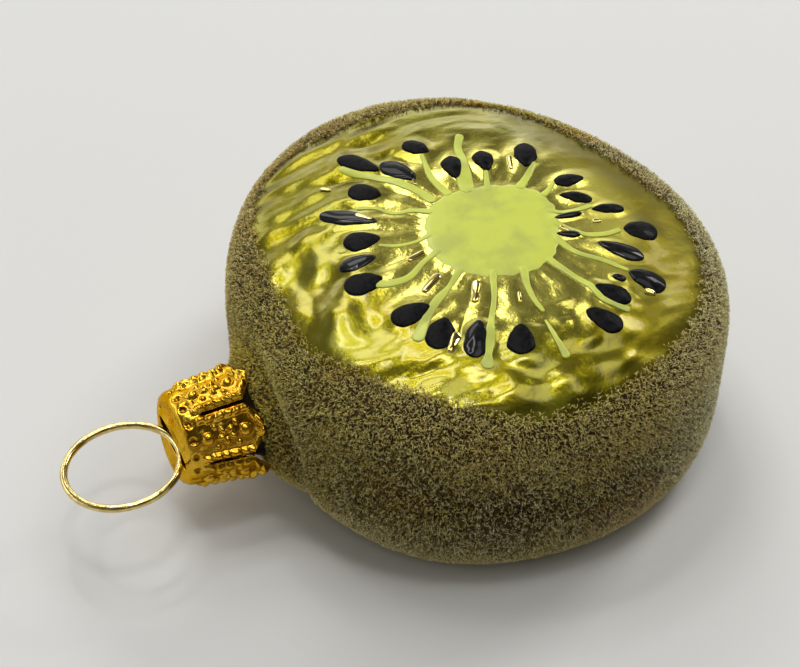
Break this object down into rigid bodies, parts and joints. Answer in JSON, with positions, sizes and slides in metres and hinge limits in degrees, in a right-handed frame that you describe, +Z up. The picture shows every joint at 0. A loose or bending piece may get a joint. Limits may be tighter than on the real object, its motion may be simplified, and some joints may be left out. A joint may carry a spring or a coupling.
{
  "type": "kiwi slice glass tree ornament",
  "caption": "Mould-blown glass kiwi slice ornament with flocked sides, a painted cut face, a stamped metal cap and a wire hanging ring.",
  "frame": {"origin": "middle of the flat patch on the back that the ornament rests on, at table level", "axes": "+Z up out of the cut face, -X along the neck towards the cap and the ring, +Y to complete a right-handed frame"},
  "size_m": [0.0844, 0.0637, 0.0293],
  "materials": {
    "flocked_glass": "silvered inside, green-gold lacquer and lime paint on the cut face, short olive-brown flock on the sides",
    "gold_cap": "stamped and bright gilt",
    "gilt_wire": "drawn, polished pale gilt"
  },
  "bodies": {
    "ornament": {"glass_body": "flocked_glass", "cap": "gold_cap"},
    "ring": {"ring": "gilt_wire"}
  },
  "joints": [
    {"name": "ring_swing", "type": "hinge", "parent": "ornament", "child": "ring", "pos_m": [-0.0397, -0.0015, 0.01148], "axis": [0, 1, 0], "range_deg": [-25, 15]}
  ]
}
